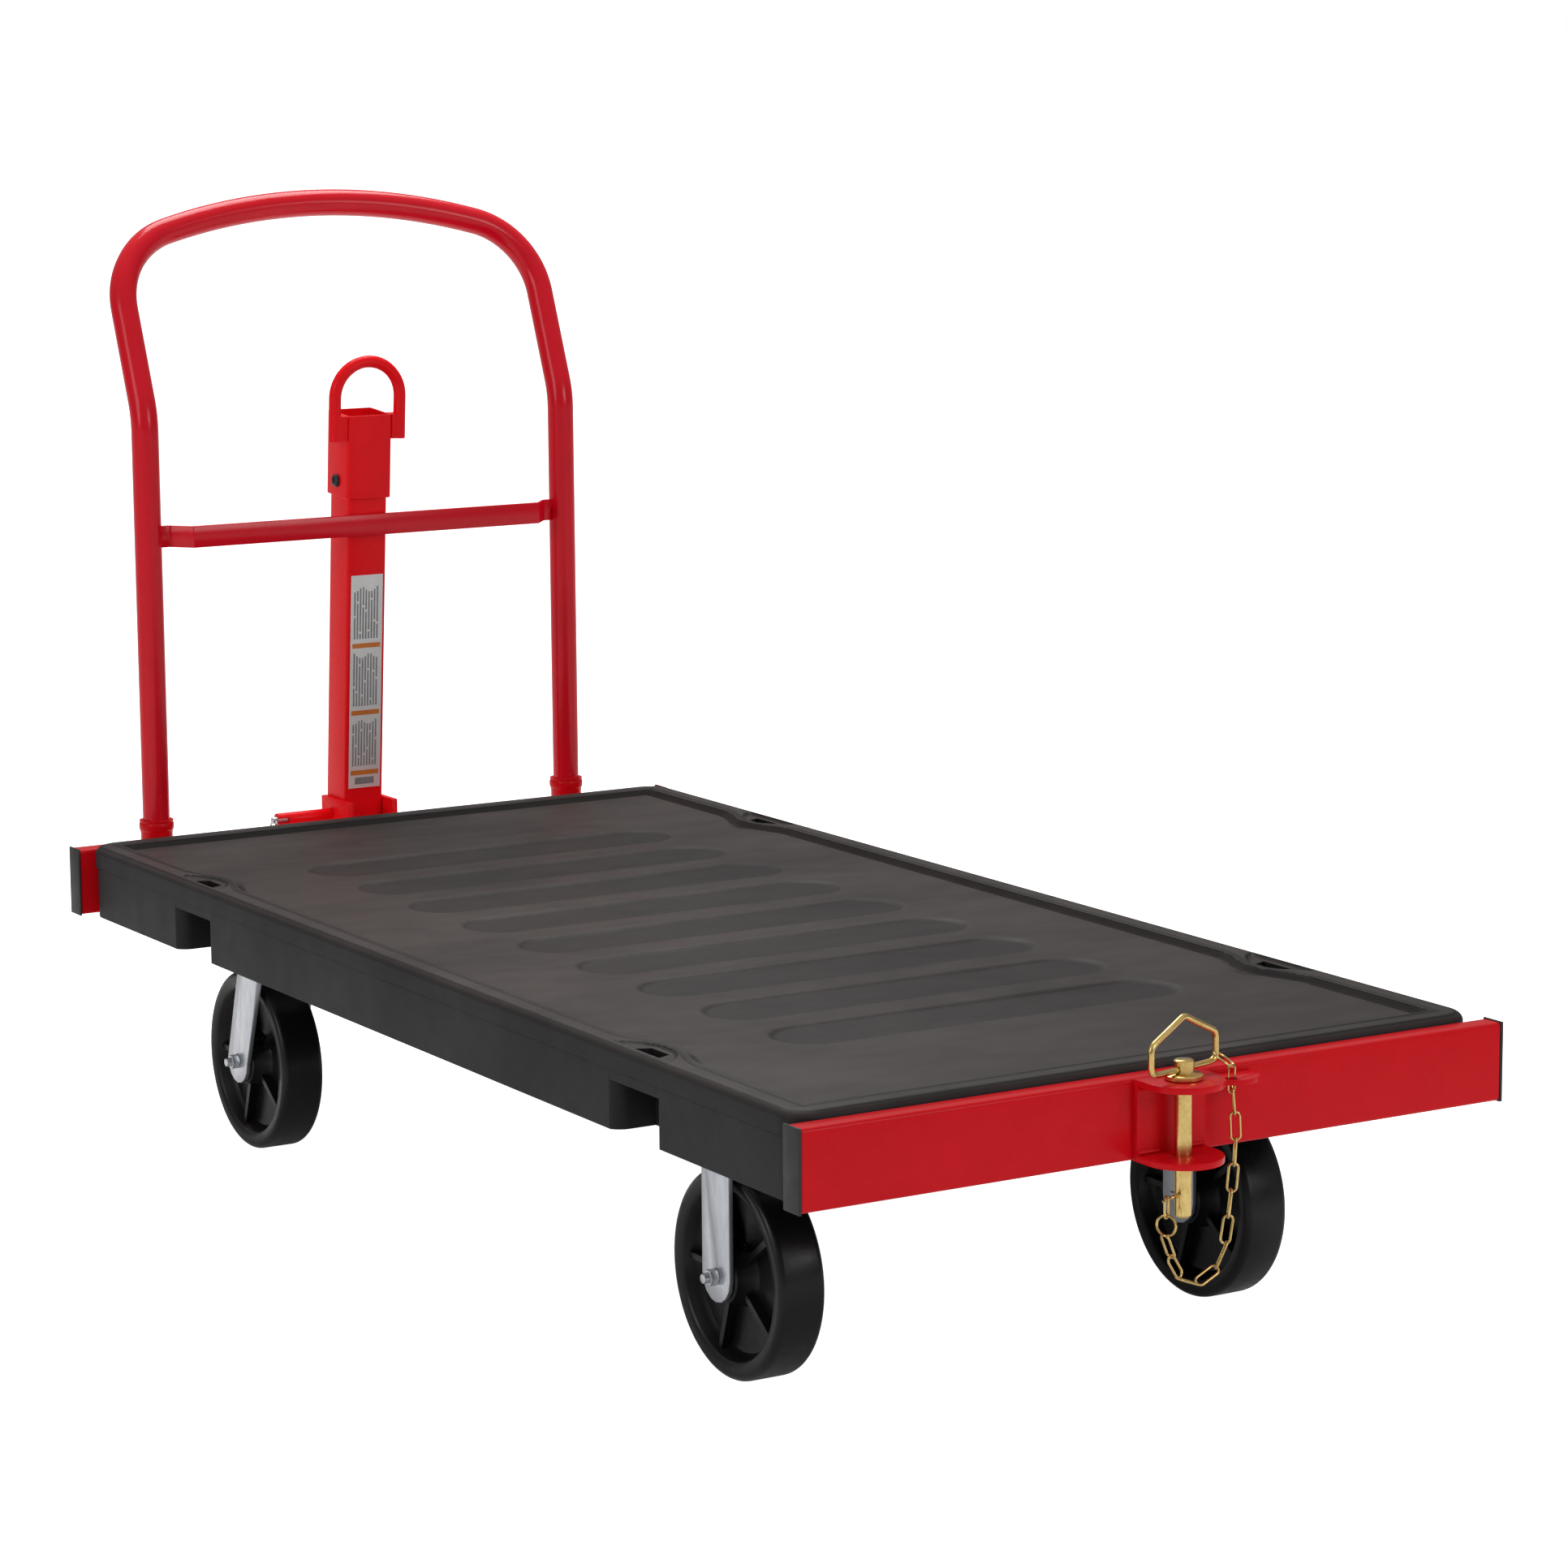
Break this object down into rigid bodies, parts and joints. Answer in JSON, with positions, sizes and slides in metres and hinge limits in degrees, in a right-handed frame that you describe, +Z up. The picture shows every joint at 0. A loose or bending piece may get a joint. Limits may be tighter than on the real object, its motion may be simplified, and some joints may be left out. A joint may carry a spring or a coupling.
{
  "type": "folding platform cart",
  "caption": "Towable platform cart: moulded deck on a steel frame, rigid and swivel casters, push handle, fold-down tow bar and rear-pull pin hitch.",
  "frame": {"origin": "floor level, under the centre of the whole cart's box, measured without the chain", "axes": "+X to the cart's right, +Y towards the push handle and tow bar, -Y towards the pin hitch, +Z up"},
  "size_m": [0.787, 1.8204, 1.0637],
  "materials": {
    "deck_plastic": "matt moulded polyethylene, fine pebble grain",
    "frame_red": "gloss powder coat",
    "handle_red": "gloss powder coat",
    "tow_red": "gloss powder coat",
    "cap_plastic": "matt moulded plastic",
    "wheel_black": "satin moulded phenolic",
    "bright_zinc": "bright zinc plate",
    "yellow_zinc": "yellow chromate over zinc plate",
    "dark_steel": "satin black paint",
    "bush_bronze": "machined bearing bronze",
    "label_white": null
  },
  "bodies": {
    "cart_frame": {"deck": "deck_plastic", "front_member": "frame_red", "rear_member": "frame_red", "front_end_cap_left": "cap_plastic", "front_end_cap_right": "cap_plastic", "rear_end_cap_left": "cap_plastic", "rear_end_cap_right": "cap_plastic", "frame_rail_left": "dark_steel", "frame_rail_right": "dark_steel", "caster_beam_front": "dark_steel", "caster_beam_rear": "dark_steel", "push_handle": "handle_red", "handle_crossbar": "handle_red", "handle_socket_left": "frame_red", "handle_socket_right": "frame_red", "front_left_fork": "bright_zinc", "front_left_axle_bolt": "bright_zinc", "front_left_axle_nut": "bright_zinc", "front_left_bush": "bush_bronze", "front_right_fork": "bright_zinc", "front_right_axle_bolt": "bright_zinc", "front_right_axle_nut": "bright_zinc", "front_right_bush": "bush_bronze", "rear_left_swivel_plate": "bright_zinc", "rear_left_kingpin": "bright_zinc", "rear_right_swivel_plate": "bright_zinc", "rear_right_kingpin": "bright_zinc", "tow_bracket": "tow_red", "tow_pivot_bolt": "bright_zinc", "tow_pivot_nut": "bright_zinc", "latch_housing": "tow_red", "latch_spring": "bright_zinc", "hitch_clevis": "frame_red", "chain_tab": "frame_red"},
    "front_left_wheel": {"front_left_wheel": "wheel_black"},
    "front_right_wheel": {"front_right_wheel": "wheel_black"},
    "rear_left_caster": {"rear_left_fork": "bright_zinc", "rear_left_axle_bolt": "bright_zinc", "rear_left_axle_nut": "bright_zinc", "rear_left_bush": "bush_bronze"},
    "rear_left_wheel": {"rear_left_wheel": "wheel_black"},
    "rear_right_caster": {"rear_right_fork": "bright_zinc", "rear_right_axle_bolt": "bright_zinc", "rear_right_axle_nut": "bright_zinc", "rear_right_bush": "bush_bronze"},
    "rear_right_wheel": {"rear_right_wheel": "wheel_black"},
    "tow_bar": {"tow_bar": "tow_red", "tow_head_sleeve": "tow_red", "tow_head_bolt_lower": "dark_steel", "tow_head_bolt_upper": "dark_steel", "tow_eye": "tow_red", "tow_bar_label": "label_white"},
    "latch_pin": {"latch_pin": "bright_zinc"},
    "latch_ring": {"latch_ring": "bright_zinc"},
    "hitch_pin": {"hitch_pin": "yellow_zinc", "safety_chain": "yellow_zinc"},
    "hitch_bail": {"hitch_bail": "yellow_zinc"},
    "hitch_clip": {"hitch_clip": "yellow_zinc", "clip_link": "yellow_zinc", "clip_ring": "yellow_zinc"}
  },
  "joints": [
    {"name": "front_left_wheel_spin", "type": "hinge", "parent": "cart_frame", "child": "front_left_wheel", "pos_m": [-0.267, -0.54769, 0.1016], "axis": [1, 0, 0], "continuous": true},
    {"name": "front_right_wheel_spin", "type": "hinge", "parent": "cart_frame", "child": "front_right_wheel", "pos_m": [0.267, -0.54769, 0.1016], "axis": [1, 0, 0], "continuous": true},
    {"name": "rear_left_caster_swivel", "type": "hinge", "parent": "cart_frame", "child": "rear_left_caster", "pos_m": [-0.269, 0.48031, 0.2277], "axis": [0, 0, 1], "continuous": true},
    {"name": "rear_left_wheel_spin", "type": "hinge", "parent": "rear_left_caster", "child": "rear_left_wheel", "pos_m": [-0.269, 0.52031, 0.1016], "axis": [1, 0, 0], "continuous": true},
    {"name": "rear_right_caster_swivel", "type": "hinge", "parent": "cart_frame", "child": "rear_right_caster", "pos_m": [0.269, 0.48031, 0.2277], "axis": [0, 0, 1], "continuous": true},
    {"name": "rear_right_wheel_spin", "type": "hinge", "parent": "rear_right_caster", "child": "rear_right_wheel", "pos_m": [0.269, 0.52031, 0.1016], "axis": [1, 0, 0], "continuous": true},
    {"name": "tow_bar_fold", "type": "hinge", "parent": "cart_frame", "child": "tow_bar", "pos_m": [0, 0.83751, 0.262], "axis": [-1, 0, 0], "range_deg": [0, 100]},
    {"name": "latch_pull", "type": "slide", "parent": "cart_frame", "child": "latch_pin", "axis": [-1, 0, 0], "range_m": [0, 0.012], "stiffness_N_per_m": 800, "springref_m": -0.004, "deforming": ["latch_spring"]},
    {"name": "latch_ring_swing", "type": "hinge", "parent": "latch_pin", "child": "latch_ring", "pos_m": [-0.1067, 0.83341, 0.313], "axis": [0, 1, 0], "range_deg": [-8, 95]},
    {"name": "hitch_pin_lift", "type": "slide", "parent": "cart_frame", "child": "hitch_pin", "axis": [0, 0, 1], "range_m": [0, 0.012]},
    {"name": "hitch_bail_swing", "type": "hinge", "parent": "hitch_pin", "child": "hitch_bail", "pos_m": [0, -0.87219, 0.3269], "axis": [0.9668, 0.2555, 0], "range_deg": [-85, 85]},
    {"name": "hitch_clip_pull", "type": "slide", "parent": "hitch_pin", "child": "hitch_clip", "axis": [-0.866, -0.5, 0], "range_m": [0, 0.032]}
  ]
}
